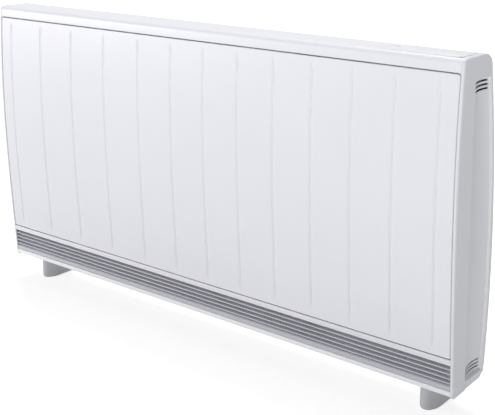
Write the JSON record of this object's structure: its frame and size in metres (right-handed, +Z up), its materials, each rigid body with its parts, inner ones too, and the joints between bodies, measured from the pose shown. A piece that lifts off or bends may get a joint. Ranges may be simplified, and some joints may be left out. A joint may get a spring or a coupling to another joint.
{
  "type": "storage heater",
  "caption": "Slim fan-assisted electric storage heater on two feet, with a bowed white front, a low warm-air grille and controls under a lid.",
  "frame": {"origin": "on the floor, midway between the ends and midway between the front's bow and the wall face of the brackets", "axes": "+X to the viewer's right along the heater, +Y towards the wall, +Z up"},
  "size_m": [1.076, 0.1414, 0.5852],
  "materials": {
    "casing_white": "satin white powder coat",
    "moulding_white": "fine-textured white moulding",
    "grille_grey": "satin light grey paint",
    "galvanised": "galvanised sheet",
    "foot_grey": "mid grey moulding",
    "zinc_screw": "zinc plate",
    "smoked_lens": "smoked lens",
    "amber_lamp": "amber neon",
    "dial_grey": "satin pale grey",
    "button_grey": "satin grey",
    "black_plastic": "black moulding",
    "storage_brick": "dense iron-oxide brick",
    "element_steel": "dull steel sheath",
    "insulation_board": "pressed microporous board",
    "fan_aluminium": "mill aluminium",
    "brass": "turned brass",
    "terminal_cream": "steatite",
    "board_green": "printed board"
  },
  "bodies": {
    "casing": {"front_panel": "casing_white", "top_cover": "casing_white", "end_cap_right": "moulding_white", "end_cap_left": "moulding_white", "base_tray": "casing_white", "front_rail": "casing_white", "outlet_grille": "grille_grey", "back_panel": "galvanised", "foot_right": "foot_grey", "foot_bolt_right": "zinc_screw", "wall_bracket_right": "galvanised", "bracket_screw_right": "zinc_screw", "foot_left": "foot_grey", "foot_bolt_left": "zinc_screw", "wall_bracket_left": "galvanised", "bracket_screw_left": "zinc_screw", "indicator_lamp": "amber_lamp", "control_well": "moulding_white", "charge_control": "black_plastic", "room_heat_control": "black_plastic", "boost_switch": "black_plastic", "brick_row_1": "storage_brick", "heating_element_1": "element_steel", "brick_row_2": "storage_brick", "heating_element_2": "element_steel", "brick_row_3": "storage_brick", "heating_element_3": "element_steel", "core_case": "galvanised", "core_cover": "galvanised", "insulation_surround": "insulation_board", "insulation_front": "insulation_board", "insulation_rear": "insulation_board", "core_stand": "galvanised", "back_rail": "galvanised", "cover_stay": "galvanised", "fan_housing": "galvanised", "fan_motor": "element_steel", "fan_bush": "brass", "air_guide": "galvanised", "outlet_chamber": "galvanised", "thermal_actuator": "brass", "electrics_plate": "galvanised", "terminal_block": "terminal_cream", "cable_clamp": "black_plastic", "cable_gland": "foot_grey", "control_board": "board_green", "overheat_cutout": "black_plastic", "core_sensor": "brass", "busbar": "brass", "lid_hinge_rod": "zinc_screw"},
    "lid": {"control_lid": "moulding_white", "indicator_lens": "smoked_lens"},
    "charge": {"charge_dial": "dial_grey", "charge_spindle": "brass"},
    "room_heat": {"room_heat_dial": "dial_grey", "room_heat_spindle": "brass"},
    "boost": {"boost_button": "button_grey"},
    "fan": {"fan_impeller": "fan_aluminium"},
    "damper": {"damper_flap": "galvanised"},
    "plunger": {"actuator_plunger": "element_steel"}
  },
  "joints": [
    {"name": "lid_hinge", "type": "hinge", "parent": "casing", "child": "lid", "pos_m": [0.4555, 0.001, 0.5837], "axis": [-1, 0, 0], "range_deg": [0, 100]},
    {"name": "charge_turn", "type": "hinge", "parent": "casing", "child": "charge", "pos_m": [0.424, -0.022, 0.5626], "axis": [0, 0, -1], "range_deg": [0, 270]},
    {"name": "room_heat_turn", "type": "hinge", "parent": "casing", "child": "room_heat", "pos_m": [0.47, -0.022, 0.5626], "axis": [0, 0, -1], "range_deg": [0, 270]},
    {"name": "boost_press", "type": "slide", "parent": "casing", "child": "boost", "axis": [0, 0, -1], "range_m": [0, 0.003], "stiffness_N_per_m": 400},
    {"name": "fan_spin", "type": "hinge", "parent": "casing", "child": "fan", "pos_m": [0, -0.001, 0.104], "axis": [1, 0, 0], "continuous": true},
    {"name": "damper_swing", "type": "hinge", "parent": "casing", "child": "damper", "pos_m": [0, -0.015, 0.137], "axis": [1, 0, 0], "range_deg": [0, 35]},
    {"name": "plunger_travel", "type": "slide", "parent": "casing", "child": "plunger", "axis": [0, -1, 0], "range_m": [0, 0.0044]}
  ],
  "couplings": [
    {"joint": "plunger_travel", "follows": "damper_swing", "m_per_rad": 0.00712}
  ]
}
